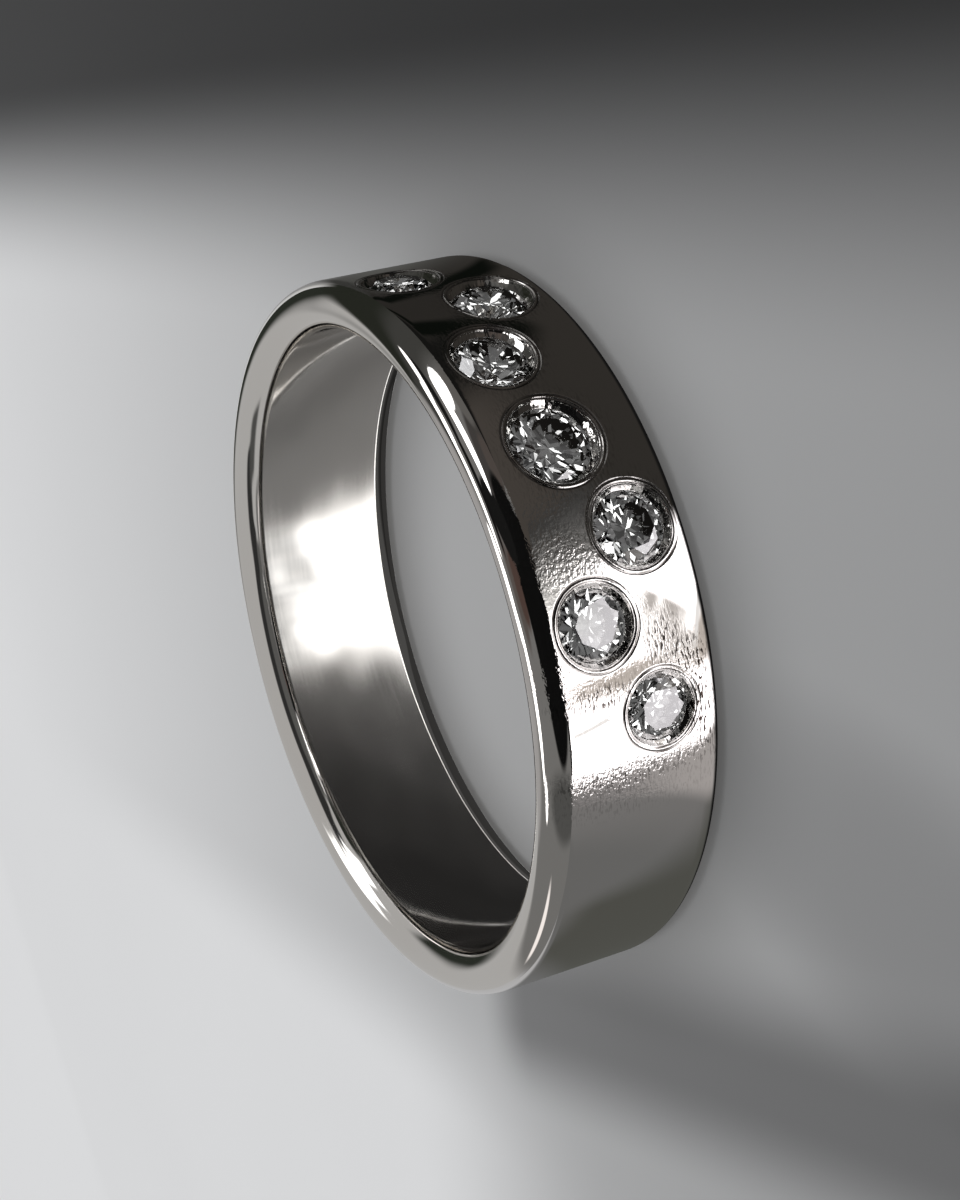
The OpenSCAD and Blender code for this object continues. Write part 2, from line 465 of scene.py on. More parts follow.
def boredness(points):
    """1 on the bore, 0 on the outer wall, and a smooth change over the round edges."""
    radius = np.hypot(points[:, 0], points[:, 1])
    part = np.clip((EDGE_MID_R - radius) / EDGE_R, 0, 1)
    return part * part * (3 - 2 * part)


def unrolled(points, faces):
    """Where each face's corners lie on the unrolled band, in millimetres.

    The first number is the length along the outer wall from the front, and the second is the way
    round the section, found from the turn of the section's edges. Both go round in a circle, so
    corners past the seam are carried over to the side of the face's other corners."""
    radius = np.hypot(points[:, 0], points[:, 1])
    rise = points[:, 2] - MID_Z
    turn = np.arctan2(np.maximum(np.abs(rise) - FLAT, 0), radius - EDGE_MID_R)
    on_edge = FLAT + EDGE_R * turn
    on_flat = np.clip(FLAT - np.abs(rise), 0, None)
    way = np.sign(rise) * np.where(radius > EDGE_MID_R, on_edge - on_flat, on_edge + on_flat)
    angle = (np.arctan2(points[:, 1], points[:, 0]) + 1.5 * np.pi) % (2 * np.pi) - np.pi
    places = np.stack([angle * OUTER_R, way], -1)[faces]
    whole = np.array([2 * np.pi * OUTER_R, WAY_ROUND])
    return places + whole * (places.max(1, keepdims=True) - places > whole / 2)


def make_mesh(name, points, faces, normals=None):
    """A mesh object from points in millimetres, with smooth faces where normals are given."""
    mesh = bpy.data.meshes.new(name)
    mesh.from_pydata((points * MM).tolist(), [], faces.tolist())
    mesh.update()
    if normals is not None:
        mesh.polygons.foreach_set("use_smooth", np.ones(len(mesh.polygons), bool))
        mesh.normals_split_custom_set_from_vertices(normals.tolist())
    piece = bpy.data.objects.new(name, mesh)
    bpy.context.scene.collection.objects.link(piece)
    return piece


def sheet(name, points, closed=False):
    """A mesh of the faces between rows of points. In a closed one each row is a ring."""
    numbers = np.arange(points[..., 0].size).reshape(points.shape[:-1])
    if closed:
        numbers = np.hstack([numbers, numbers[:, :1]])
    a, b, c, d = numbers[:-1, :-1], numbers[:-1, 1:], numbers[1:, 1:], numbers[1:, :-1]
    return make_mesh(name, points.reshape(-1, 3), np.stack([a, d, c, b], -1).reshape(-1, 4))


def point_values(piece, name, values):
    """Stores one number for each point of a mesh under a name that materials read."""
    attribute = piece.data.attributes.new(name, "FLOAT", "POINT")
    attribute.data.foreach_set("value", np.asarray(values, np.float32))


def add(tree, kind, values=None, **settings):
    """Adds a node, sets its properties, and fills its sockets with values or links. The kind is the
    node type's name after ShaderNode."""
    node = tree.nodes.new("ShaderNode" + kind)
    for name, value in settings.items():
        setattr(node, name, value)
    for name, value in (values or {}).items():
        if isinstance(value, bpy.types.NodeSocket):
            tree.links.new(value, node.inputs[name])
        else:
            node.inputs[name].default_value = value
    return node


def maths(tree, operation, *values):
    """A Math node's result. Values are numbers or sockets."""
    return add(tree, "Math", dict(enumerate(values)), operation=operation).outputs[0]


def scaled(tree, value, factor, more):
    """A value times a factor, plus more."""
    return maths(tree, "MULTIPLY_ADD", value, factor, more)


def times(tree, first, *others):
    """The product of numbers and sockets."""
    for other in others:
        first = maths(tree, "MULTIPLY", first, other)
    return first


def noise(tree, where, scale, detail):
    """A cloudy value that changes with the place."""
    sockets = {"Vector": where, "Scale": scale, "Detail": detail}
    return add(tree, "TexNoise", sockets).outputs[0]


def stored(tree, name):
    """The number that a mesh stores for each point under a name."""
    return add(tree, "Attribute", attribute_name=name).outputs["Fac"]


def vector_maths(tree, operation, *values):
    """A Vector Math node's resulting vector."""
    return add(tree, "VectorMath", dict(enumerate(values)), operation=operation).outputs[0]


def dot(tree, first, second):
    """The dot product of two vectors."""
    return add(tree, "VectorMath", {0: first, 1: second}, operation="DOT_PRODUCT").outputs["Value"]


def ramp(tree, value, start, end, low=0.0, high=1.0):
    """A smooth step of a value, from low at start to high at end. The two may run backwards."""
    if start > end:
        start, end, low, high = end, start, high, low
    sockets = {"Value": value, "From Min": start, "From Max": end, "To Min": low, "To Max": high}
    return add(tree, "MapRange", sockets, interpolation_type="SMOOTHSTEP").outputs["Result"]


def blend(tree, part, first, second):
    """The mix of two colours by a part between 0 and 1. A colour is a socket, its three parts, or
    one number for a grey."""
    node = add(tree, "Mix", {0: part}, data_type="RGBA")
    for number, value in ((6, first), (7, second)):
        if isinstance(value, bpy.types.NodeSocket):
            tree.links.new(value, node.inputs[number])
        else:
            parts = (value,) * 3 if isinstance(value, float) else value
            node.inputs[number].default_value = (*parts, 1)
    return node.outputs[2]


def layer(tree, base, value, start, end, colour):
    """A base that turns into another colour while a value goes from start to end."""
    return blend(tree, ramp(tree, value, start, end), base, colour)


def new_group(name, inputs, outputs):
    """A node group with named sockets, and the sockets of its input and output nodes. An input
    whose first value is a tuple is a vector, and all the others are numbers."""
    group = bpy.data.node_groups.new(name, "ShaderNodeTree")
    for label, value in inputs.items():
        kind = "NodeSocketVector" if isinstance(value, tuple) else "NodeSocketFloat"
        group.interface.new_socket(label, in_out="INPUT", socket_type=kind).default_value = value
    for label in outputs:
        group.interface.new_socket(label, in_out="OUTPUT", socket_type="NodeSocketFloat")
    return group, group.nodes.new("NodeGroupInput").outputs, group.nodes.new("NodeGroupOutput").inputs


# The group's name, by which the stones' step finds it after the band's step made it, and length
# and width of each kind of mark in metres
MARKS = "polishing marks"
GRAIN_SIZE = (0.00021, 0.00006)
DIMPLE_SIZE = (0.000115, 0.000105)
HAIR_SIZE = (0.004, 0.00010)
FACET_LINE_SIZE = (0.0009, 0.00003)


def marks_group():
    """Fine polishing marks: noise drawn out along X, as a height, a roughness and a mask of the
    pits, where its lowest places are."""
    sockets = {"Vector": (0, 0, 0), "Length": 0.0002, "Width": 0.00006, "Amount": 1.0}
    group, given, result = new_group(MARKS, sockets, ("Height", "Roughness", "Pits"))
    fine = maths(group, "DIVIDE", 1.0, given["Width"])
    long = maths(group, "DIVIDE", 1.0, given["Length"])
    scale = add(group, "CombineXYZ", {"X": long, "Y": fine, "Z": fine}).outputs[0]
    place = vector_maths(group, "MULTIPLY", given["Vector"], scale)
    sockets = {"Vector": place, "Scale": 1.0, "Detail": 2.0, "Roughness": 0.55}
    grain = add(group, "TexNoise", sockets).outputs[0]
    shaped = ramp(group, grain, 0.3, 0.7)
    values = (shaped, maths(group, "POWER", shaped, 2.0), ramp(group, grain, 0.48, 0.41))
    for name, value in zip(("Height", "Roughness", "Pits"), values):
        group.links.new(times(group, value, given["Amount"]), result[name])
    return group


def marked(tree, marks, where, size, amount):
    """The outputs of the polishing marks at a place."""
    sockets = {"Vector": where, "Length": size[0], "Width": size[1], "Amount": amount}
    return add(tree, "Group", sockets, node_tree=marks).outputs


def new_material(name):
    """A material with its output and shader nodes."""
    material = bpy.data.materials.new(name)
    material.use_nodes = True
    tree = material.node_tree
    return material, tree, tree.nodes["Principled BSDF"]


# Roughness that the grain and the hairlines, the residue, the bore's plainer polish and the lines
# on the facets add
GRAIN_ROUGHNESS = 0.05
RESIDUE_ROUGHNESS = 0.3
BORE_ROUGHNESS = 0.04
FACET_ROUGHNESS = 0.012
# The colour of the polish residue and painted shade and how far it covers the metal, the
# hairlines' strength, and the dimples' height over the grain's
RESIDUE_AND_SHADE = (0.026, 0.019, 0.016)
RESIDUE_AND_SHADE_COVER = 0.985
HAIR_AMOUNT = 0.35
DIMPLE_PART = 2.0
# Where the tints drift to, as parts of the metal's and the stones' own colours
WARM = (0.97, 0.945, 0.92)
COOL = (0.99, 1.0, 0.965)
# How fine the clouds of each pattern are, as a scale over metres: the grain's and the waves'
# patches, the tints' drift on the metal and in the stones, and the board's clouds
PATCH_SCALE = 420.0
METAL_SCALE = 150.0
STONE_SCALE = 900.0
BOARD_SCALE = 35.0
# How much higher the polishing waves are in the bore
BORE_WAVES = 0.8


def drifting(tree, colour, drift, where, scale, detail):
    """A colour that drifts in clouds towards its product with another one."""
    end = tuple(part * other for part, other in zip(colour, drift))
    return blend(tree, noise(tree, where, scale, detail), tuple(colour), end)


def white_metal(looks, marks):
    """Mirror polished white metal. Its tint drifts a little, polish residue and painted shade darken
    the burnished lines and the seats under the stones, painted shade darkens the grain's pits, and
    the bore is a little less sharply polished than the outside."""
    material, tree, shader = new_material("polished white metal")
    where = add(tree, "TexCoord").outputs["Object"]
    around = add(tree, "UVMap", uv_map="wall").outputs[0]
    residue_and_shade, inside = stored(tree, "residue_and_shade"), stored(tree, "inside")
    patches = noise(tree, where, PATCH_SCALE, 1.0)
    clean = drifting(tree, looks.metal_colour, WARM, where, METAL_SCALE, 2.0)
    strength = times(tree, stored(tree, "grain"), ramp(tree, patches, 0.36, 0.60, 0.6, 1.0))
    grain = marked(tree, marks, around, GRAIN_SIZE, strength)
    dimples = marked(tree, marks, around, DIMPLE_SIZE, stored(tree, "dimples"))
    hairs = marked(tree, marks, around, HAIR_SIZE, HAIR_AMOUNT)
    # Painted shade: the stored residue and shade values and the grain's pits darken the metal's colour
    residue_and_pit_shade = times(tree, maths(tree, "MAXIMUM", residue_and_shade, grain["Pits"]), RESIDUE_AND_SHADE_COVER)
    rough = looks.polish_roughness
    for part, more in (
        (grain["Roughness"], GRAIN_ROUGHNESS),
        (hairs["Roughness"], GRAIN_ROUGHNESS),
        (residue_and_shade, RESIDUE_ROUGHNESS),
        (inside, BORE_ROUGHNESS),
    ):
        rough = scaled(tree, part, more, rough)
    swell = times(tree, patches, scaled(tree, inside, BORE_WAVES, 1.0))
    sockets = {"Height": swell, "Distance": looks.wave_height}
    waves = add(tree, "Bump", sockets).outputs[0]
    relief = scaled(tree, dimples["Height"], DIMPLE_PART, grain["Height"])
    sockets = {"Height": relief, "Distance": looks.grain_height, "Normal": waves}
    normal = add(tree, "Bump", sockets).outputs[0]
    tree.links.new(blend(tree, residue_and_pit_shade, clean, RESIDUE_AND_SHADE), shader.inputs["Base Color"])
    tree.links.new(rough, shader.inputs["Roughness"])
    tree.links.new(normal, shader.inputs["Normal"])
    shader.inputs["Metallic"].default_value = 1.0
    return material


def clear_stone(looks, marks):
    """Cut clear stone: a high refractive index, flat facets with the faintest polishing lines and
    a trace of cool tint that drifts through it."""
    material, tree, shader = new_material("clear cut stone")
    where = add(tree, "TexCoord").outputs["Object"]
    colour = drifting(tree, looks.stone_colour, COOL, where, STONE_SCALE, 1.0)
    lines = marked(tree, marks, where, FACET_LINE_SIZE, 1.0)
    tree.links.new(colour, shader.inputs["Base Color"])
    tree.links.new(times(tree, lines["Roughness"], FACET_ROUGHNESS), shader.inputs["Roughness"])
    shader.inputs["Transmission Weight"].default_value = 1.0
    shader.inputs["IOR"].default_value = looks.refraction
    return material


# What the settings that are colours share, and those that are tiny lengths
COLOUR = {"subtype": "COLOR", "size": 3, "min": 0, "max": 1}
SMALL = {"unit": "LENGTH", "precision": 6}


class RingLooks(bpy.types.PropertyGroup):
    """The ring's finishes and the studio's light."""

    metal_colour: bpy.props.FloatVectorProperty(
        name="Metal colour",
        description="Reflected colour of the polished metal",
        default=SLOTS["white_metal"]["base_color"][:3],
        **COLOUR,
    )
    polish_roughness: bpy.props.FloatProperty(
        name="Polish roughness",
        description="Roughness of the metal where it is polished best",
        subtype="FACTOR",
        min=0,
        max=1,
        default=0.035,
    )
    wave_height: bpy.props.FloatProperty(
        name="Wave height",
        description="Height of the shallow waves that hand polishing leaves in the wall",
        default=0.000010,
        **SMALL,
    )
    grain_height: bpy.props.FloatProperty(
        name="Grain height",
        description="Height of the fine grain round the settings",
        default=0.0000035,
        **SMALL,
    )
    stone_colour: bpy.props.FloatVectorProperty(
        name="Stone colour",
        description="Colour that the clear stones let through",
        default=SLOTS["clear_stone"]["base_color"][:3],
        **COLOUR,
    )
    refraction: bpy.props.FloatProperty(
        name="Refractive index",
        description="How strongly the stones bend light",
        min=1,
        max=3,
        default=2.42,
    )
    floor_colour: bpy.props.FloatVectorProperty(
        name="Floor colour",
        description="Colour of the pale surface that the ring lies on",
        default=(0.72, 0.725, 0.735),
        **COLOUR,
    )
    key_strength: bpy.props.FloatProperty(
        name="Key light strength",
        description="Strength of the wide soft light that falls on the surface",
        default=1.3,
    )


class RING_OT_band(bpy.types.Operator):
    """Builds the polished band with its seven seats in place of the CAD band"""

    bl_idname = "ring.band"
    bl_label = "Build the band"

    def execute(self, context):
        points, normals, residue_and_shade, faces = band_skin()
        band = make_mesh("polished_band", points, faces, normals)
        point_values(band, "grain", patch_strength(points, GRAIN))
        point_values(band, "dimples", patch_strength(points, DIMPLES))
        point_values(band, "residue_and_shade", residue_and_shade)
        point_values(band, "inside", boredness(points))
        wall = band.data.uv_layers.new(name="wall")
        wall.data.foreach_set("uv", (unrolled(points, faces) * MM).astype(np.float32).ravel())
        band.data.materials.append(white_metal(context.scene.ring_looks, marks_group()))
        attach(band, "root")
        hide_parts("band")
        return {"FINISHED"}


class RING_OT_stones(bpy.types.Operator):
    """Gives the seven cut stones of the CAD model their clear, strongly refracting material"""

    bl_idname = "ring.stones"
    bl_label = "Finish the stones"

    def execute(self, context):
        material = clear_stone(context.scene.ring_looks, bpy.data.node_groups[MARKS])
        for name in STONE_NAMES:
            stone = frame["nodes"][name]
            stone.data.materials.clear()
            stone.data.materials.append(material)
        return {"FINISHED"}


def ring_grid(name, inner_r, outer_r, level, rings, steps):
    """A flat ring at a level: radius grows evenly from ring to ring, and angle round each ring."""
    radius = np.linspace(inner_r, outer_r, rings)[:, None]
    angle = np.arange(steps) * 2 * np.pi / steps
    points = [radius * np.cos(angle), radius * np.sin(angle), level + 0 * radius * angle]
    return sheet(name, np.stack(points, -1), closed=True)


def plane_grid(name, half, steps):
    """A flat square at Z 0 with even steps in X and Y."""
    along = np.linspace(-half, half, steps)
    x, y = np.meshgrid(along, along)
    return sheet(name, np.stack([x, -y, 0 * x], -1))


def flat_place(tree):
    """X and Y of the place on the surface, in millimetres."""
    where = add(tree, "TexCoord").outputs["Object"]
    where = vector_maths(tree, "MULTIPLY", where, (1000, 1000, 1000))
    parts = add(tree, "SeparateXYZ", {0: where}).outputs
    return parts[0], parts[1]


def past(tree, x, y, toward, at):
    """How far a place lies past a line that runs through a point, measured along the direction
    toward, which is square to the line and given in degrees from +X."""
    across, up = np.cos(np.radians(toward)), np.sin(np.radians(toward))
    rest = scaled(tree, y, up, -(at[0] * across + at[1] * up))
    return scaled(tree, x, across, rest)


def from_middle(tree, x, y):
    """Distance from the point where both numbers are 0: the root of the sum of their squares."""
    return maths(tree, "SQRT", scaled(tree, x, x, times(tree, y, y)))


def stripe(tree, away, half, softness):
    """1 along a line and 0 beyond a half width, from the signed distance to the line."""
    return ramp(tree, maths(tree, "ABSOLUTE", away), half + softness, half)


# How much of the board's tone the painted shadow takes away, and the tone that painted light lifts it to
# on the left
SHADE_DEPTH = 0.54
PAINTED_LIGHT_TONE = 0.97
# How far the clouds on the board move its tone, from lightest to darkest
CLOUDS = 0.06


def board_material(looks):
    """Matt pale board with a faint cloudiness. Its tone is painted light and shade: a painted falloff
    of light darkens it softly towards the ring's front, painted shade darkens it more in a strip past
    the ring's right side, a painted shadow spot darkens it in one place and a soft painted shadow
    lies on its left, beyond which painted light makes it lightest. It is plain further away."""
    material, tree, shader = new_material("pale board with painted light and shade")
    x, y = flat_place(tree)
    depth = past(tree, x, y, 48.3, (0, 0))
    side = past(tree, x, y, -37.6, (0, 0))
    # Painted falloff of light: darker towards the ring's front, and light again far past it
    front = ramp(tree, depth, -35.0, 75.0, 0.40, 1.0)
    front = maths(tree, "MAXIMUM", front, ramp(tree, depth, -21.0, -42.0))
    # Painted shade: a darker strip past the ring's right side, light again further out
    strip = ramp(tree, side, 16.0, 7.0, 0.10, 1.0)
    strip = maths(tree, "MAXIMUM", strip, ramp(tree, side, 20.5, 36.0))
    # Painted shadow spot: a soft ellipse where the tone drops to 0.74 of its value
    shadow_spot_along = maths(tree, "DIVIDE", past(tree, x, y, -141.0, (-14.0, -10.5)), 9.0)
    shadow_spot_across = maths(tree, "DIVIDE", past(tree, x, y, 129.0, (-14.0, -10.5)), 4.0)
    shadow_spot = scaled(tree, shadow_spot_along, shadow_spot_along, times(tree, shadow_spot_across, shadow_spot_across))
    # Painted shadow: a soft dark stripe on the ring's left
    shade = stripe(tree, past(tree, x, y, -28.3, (-13.1, 2.6)), 0.6, 3.4)
    shade = times(tree, shade, ramp(tree, depth, 6.5, 3.0), ramp(tree, depth, -34.0, -22.0))
    shade = scaled(tree, shade, -SHADE_DEPTH, 1.0)
    tone = times(tree, front, strip, ramp(tree, shadow_spot, 0.0, 1.6, 0.74, 1.0), shade)
    # Painted light: beyond the painted shadow the tone is lifted towards a lighter tone
    lift = times(tree, ramp(tree, side, -14.5, -20.5), ramp(tree, depth, -2.0, 14.0))
    tone = scaled(tree, maths(tree, "SUBTRACT", PAINTED_LIGHT_TONE, tone), lift, tone)
    tone = maths(tree, "MAXIMUM", tone, ramp(tree, from_middle(tree, x, y), 46.0, 80.0))
    where = add(tree, "TexCoord").outputs["Object"]
    cloud = scaled(tree, noise(tree, where, BOARD_SCALE, 3.0), CLOUDS, 1 - CLOUDS / 2)
    colour = blend(tree, times(tree, tone, cloud), 0.0, looks.floor_colour)
    tree.links.new(colour, shader.inputs["Base Color"])
    shader.inputs["Roughness"].default_value = 0.9
    shader.inputs["Specular IOR Level"].default_value = 0.0
    return material


def own_light(tree):
    """1 for light that polish or a stone carries straight to the eye, 0 for light on its way to a
    matt surface, which gets an even grey in place of the cards' and soft boxes' bright spots."""
    depth = add(tree, "LightPath").outputs["Diffuse Depth"]
    return maths(tree, "LESS_THAN", depth, 0.5)


def glow_material(name):
    """A material with an Emission node on its output. A colour socket goes into the glow."""
    material, tree, shader = new_material(name)
    tree.nodes.remove(shader)
    glow = add(tree, "Emission", {"Strength": 1.0})
    return material, tree, glow, tree.nodes["Material Output"].inputs["Surface"]


def card_material():
    """The shining card on the surface round the ring."""
    material, tree, glow, surface = glow_material("card")
    colour = blend(tree, own_light(tree), STRAY_LIGHT, card_paint(tree, *flat_place(tree)))
    tree.links.new(colour, glow.inputs["Color"])
    tree.links.new(glow.outputs[0], surface)
    return material


def colour_stops(tree, value, start, end, stops, interpolation):
    """A brightness that follows stops, rows of place and brightness, over a value that runs from
    start to end. A ColorRamp holds parts of the most brightness, because it ends at 1."""
    sockets = {"Value": value, "From Min": start, "From Max": end}
    part = add(tree, "MapRange", sockets).outputs[0]
    node = add(tree, "ValToRGB", {"Fac": part})
    node.color_ramp.interpolation = interpolation
    elements = node.color_ramp.elements
    elements[1].position = 1.0
    most = max(light for _, light in stops)
    for place, _ in stops[1:-1]:
        elements.new((place - start) / (end - start))
    for stop, (_, light) in zip(elements, stops):
        stop.color = (light / most, light / most * 0.985, light / most * 0.975, 1)
    return vector_maths(tree, "MULTIPLY", node.outputs[0], (most, most, most))


# Brightness on the card across the right border of its white corner, from mm before it to past it
SHELF = [(-4.0, 4.0), (-2.9, 2.6), (-2.0, 1.0), (-1.1, 0.66), (0.0, 0.40)]
SHELF += [(1.0, 0.24), (2.0, 0.13), (3.2, 0.05), (4.4, 0.036)]


def white_corner(tree, x, y, end):
    """The card's white corner, with a brown and a faint streak, a cloudy patch and a dark end."""
    streaks = [
        (past(tree, x, y, -55.3, (-6.0, -8.8)), 0.34, 0.60, (0.62, 0.56, 0.52)),
        (past(tree, x, y, -76.0, (-12.8, -10.8)), 0.05, 0.20, (1.0, 0.98, 0.98)),
    ]
    white = (3.4, 3.28, 3.36)
    for away, half, softness, colour in streaks:
        white = blend(tree, stripe(tree, away, half, softness), white, colour)
    grow = add(tree, "CombineXYZ", {"X": times(tree, x, 0.45), "Y": y}).outputs[0]
    cloud = ramp(tree, noise(tree, grow, 1.1, 1.0), 0.38, 0.62)
    cloudy = blend(tree, cloud, (0.62, 0.58, 0.56), (1.6, 1.55, 1.55))
    sides = [ramp(tree, x, -8.4, -7.4), ramp(tree, x, -5.2, -5.6)]
    sides += [ramp(tree, y, -12.9, -12.1), ramp(tree, y, -9.2, -9.9)]
    white = blend(tree, times(tree, *sides), white, cloudy)
    return layer(tree, white, end, 0.0, 1.5, 0.004)


def left_side(tree, x, y, white):
    """The card's left: the white corner, its grey rim and an even grey with an olive part."""
    grey = layer(tree, 0.158, y, -2.0, -6.0, (0.205, 0.20, 0.20))
    olive = ramp(tree, past(tree, x, y, 45.0, (-13.0, -0.8)), -0.9, 0.9)
    olive = times(tree, olive, ramp(tree, x, -17.5, -14.5), ramp(tree, y, 11.0, 7.0))
    grey = blend(tree, olive, grey, (0.090, 0.091, 0.082))
    grey = layer(tree, grey, y, 11.0, 18.0, (0.50, 0.50, 0.51))
    rim = layer(tree, (0.27, 0.257, 0.26), x, -16.0, -9.0, (0.43, 0.405, 0.40))
    front = past(tree, x, y, -80.3, (-12.0, -7.7))
    grey = layer(tree, grey, front, -2.3, -1.5, rim)
    return layer(tree, grey, front, -0.25, 0.25, white)


def right_side(tree, x, y):
    """The card's right: dark with two black lines, and light far behind the ring."""
    dark = layer(tree, (0.034, 0.031, 0.028), y, -13.0, -17.5, (0.066, 0.058, 0.052))
    far = layer(tree, (0.009, 0.009, 0.0085), y, -12.5, -11.0, (0.026, 0.024, 0.022))
    dark = layer(tree, dark, x, 7.0, 11.0, far)
    strip = layer(tree, (0.095, 0.095, 0.09), x, 12.0, 20.0, (0.045, 0.045, 0.043))
    dark = layer(tree, dark, y, -6.5, -0.5, strip)
    for toward, at, half, start in ((94.0, (11.0, -6.5), 0.25, 6.5), (93.0, (9.0, -10.8), 0.50, 5.0)):
        line = stripe(tree, past(tree, x, y, toward, at), half, 0.6)
        line = times(tree, line, ramp(tree, x, start, start + 2.0))
        dark = blend(tree, line, dark, (0.004, 0.005, 0.004))
    dark = layer(tree, dark, past(tree, x, y, 104.0, (20.0, 4.0)), -2.0, 3.0, 0.28)
    dark = layer(tree, dark, y, 10.0, 18.0, 0.50)
    return layer(tree, dark, y, 20.0, 34.0, 0.66)


def card_paint(tree, x, y):
    """The light on the surface round the ring. A slanting edge parts its left from its right and
    turns soft in front. A painted contact shadow makes it dark all round where the ring's lower
    edge comes down to it."""
    edge = past(tree, x, y, -21.8, (-3.7, -12.5))
    end = past(tree, x, y, -129.5, (-14.5, -20.5))
    left = left_side(tree, x, y, white_corner(tree, x, y, end))
    light = layer(tree, right_side(tree, x, y), edge, 0.30, -0.30, left)
    shelf = colour_stops(tree, edge, -4.0, 4.4, SHELF, "B_SPLINE")
    sides = [ramp(tree, edge, 4.4, 3.6), ramp(tree, edge, -4.0, -3.4)]
    sides += [ramp(tree, y, -13.0, -15.5), ramp(tree, end, 0.8, 0.0)]
    light = blend(tree, times(tree, *sides), light, shelf)
    # Painted contact shadow: the light goes dark where the ring's lower edge meets the surface
    return layer(tree, light, from_middle(tree, x, y), 9.95, 9.72, 0.008)


# What the bore's polish sees past the surface: degrees from the azimuth LOWER_MIDDLE, and brightness
LOWER_MIDDLE = -140.0
LOWER_LIGHT = [(-180, 0.042), (-156, 0.030), (-140, 0.080), (-128, 0.12), (-120, 0.20), (-108, 0.213)]
LOWER_LIGHT += [(-92, 0.197), (-82, 0.143), (-74, 0.143), (-60, 0.205), (-44, 0.215), (-36, 0.21)]
LOWER_LIGHT += [(-28, 0.50), (-21, 2.60), (-12, 2.20), (-4, 2.60), (4, 2.20), (12, 2.60), (22, 3.00)]
LOWER_LIGHT += [(28, 1.00), (35, 0.24), (44, 0.11), (60, 0.074), (76, 0.047), (92, 0.026), (104, 0.036)]
LOWER_LIGHT += [(124, 0.013), (140, 0.028), (155, 0.008), (168, 0.030), (180, 0.042)]
# The sectors keep their width at this level, and spread out below it by so much for each unit
LOWER_LEVEL = -0.362
LOWER_SPREAD = 7.0


def lower_light(tree, sight, parts):
    """The light from below the surface's level, which only the bore's polish sees: soft sectors
    that spread out downwards, with the bright ones cut off in a cloudy band above."""
    middle = np.radians(LOWER_MIDDLE)
    side, ahead = (-np.sin(middle), np.cos(middle), 0), (np.cos(middle), np.sin(middle), 0)
    turn = maths(tree, "ARCTAN2", dot(tree, sight, side), dot(tree, sight, ahead))
    spread = scaled(tree, parts[2], LOWER_SPREAD, 1 - LOWER_SPREAD * LOWER_LEVEL)
    turn = times(tree, turn, 180 / np.pi, spread)
    sectors = colour_stops(tree, turn, -180, 180, LOWER_LIGHT, "B_SPLINE")
    cloud = noise(tree, sight, 9.0, 1.5)
    level = scaled(tree, cloud, 0.04, parts[2])
    cut = ramp(tree, level, -0.336, -0.322, 3.0, 0.45)
    mottled = times(tree, cut, ramp(tree, cloud, 0.38, 0.62, 0.6, 1.4))
    mottled = maths(tree, "MINIMUM", mottled, ramp(tree, parts[2], -0.500, -0.465, 0.08, 3.0))
    return vector_maths(tree, "MINIMUM", sectors, mottled)


def panel_group():
    """A soft edged rectangle on the sky. The direction is projected along the panel's own facing
    onto its side and up axes, and both distances are compared with its half sizes."""
    sockets = {"Direction": (0, 0, 1), "Facing": (0, 0, 1), "Side": (1, 0, 0), "Up": (0, 1, 0)}
    sockets |= {"Half Width": 0.2, "Half Height": 0.2, "Softness": 0.1}
    group, given, result = new_group("soft panel", sockets, ["Mask"])
    ahead = dot(group, given["Direction"], given["Facing"])
    depth = maths(group, "MAXIMUM", ahead, 0.001)
    mask = maths(group, "GREATER_THAN", ahead, 0.0)
    for axis, half in (("Side", "Half Width"), ("Up", "Half Height")):
        away = maths(group, "DIVIDE", dot(group, given["Direction"], given[axis]), depth)
        away = maths(group, "ABSOLUTE", away)
        inside = maths(group, "SUBTRACT", given[half], away)
        step = maths(group, "DIVIDE", inside, given["Softness"])
        mask = times(group, mask, ramp(group, step, -0.5, 0.5))
    group.links.new(mask, result["Mask"])
    return group


# Soft boxes of the studio as the polish sees them: azimuth and elevation in degrees, how far the
# top leans towards lower azimuths, the tangents of the half width and half height, softness, and
# colour with its strength
PANELS = [
    (-111, 25, 0, 1.10, 0.32, 0.20, (0.11, 0.11, 0.108)),
    (-111, 52, 0, 1.20, 0.21, 0.12, 0.03),
    (-111, 0, 0, 1.40, 0.20, 0.08, 0.010),
    (178, 42, 0, 0.50, 0.18, 0.12, 0.03),
    (150, 30, 0, 0.30, 0.15, 0.15, (0.08, 0.08, 0.078)),
    (-50, 44, 0, 0.35, 0.18, 0.12, 0.03),
    (41, 4, 0, 0.42, 0.30, 0.26, (0.026, 0.030, 0.024)),
    (-22, 29, 0, 0.13, 0.22, 0.08, (3.0, 3.0, 3.05)),
    (-5, 41, 0, 0.18, 0.15, 0.08, (3.0, 3.0, 3.05)),
    (16, 51, 0, 0.22, 0.15, 0.08, 2.6),
]
# The studio's pale walls
WALLS = (0.47, 0.465, 0.46)
# What the camera sees past the surface's end, and what matt surfaces get from all round
BACKDROP = (0.70, 0.70, 0.71)
FILL_LIGHT = 0.56
STRAY_LIGHT = 0.50
# What the stones see all round: brightness over a cloud pattern's value
SPARKLE = [(0.30, 0.05), (0.42, 0.085), (0.47, 0.20), (0.50, 0.09)]
SPARKLE += [(0.54, 0.26), (0.58, 0.16), (0.61, 2.2), (0.70, 2.8)]
# Azimuth and elevation of the key light and how wide it looks, in degrees
KEY_FROM = (35.0, 78.0)
KEY_WIDTH = 60
# Half the board's side, the card's inner and outer radius, and its level just under the board's
BOARD_HALF = 1500.0
CARD_R = (9.3, 400.0)
CARD_LEVEL = -0.01
# The lens of the fitted camera: focal length and picture width in millimetres
FOCAL_LENGTH = 69.836
SENSOR_WIDTH = 36.0


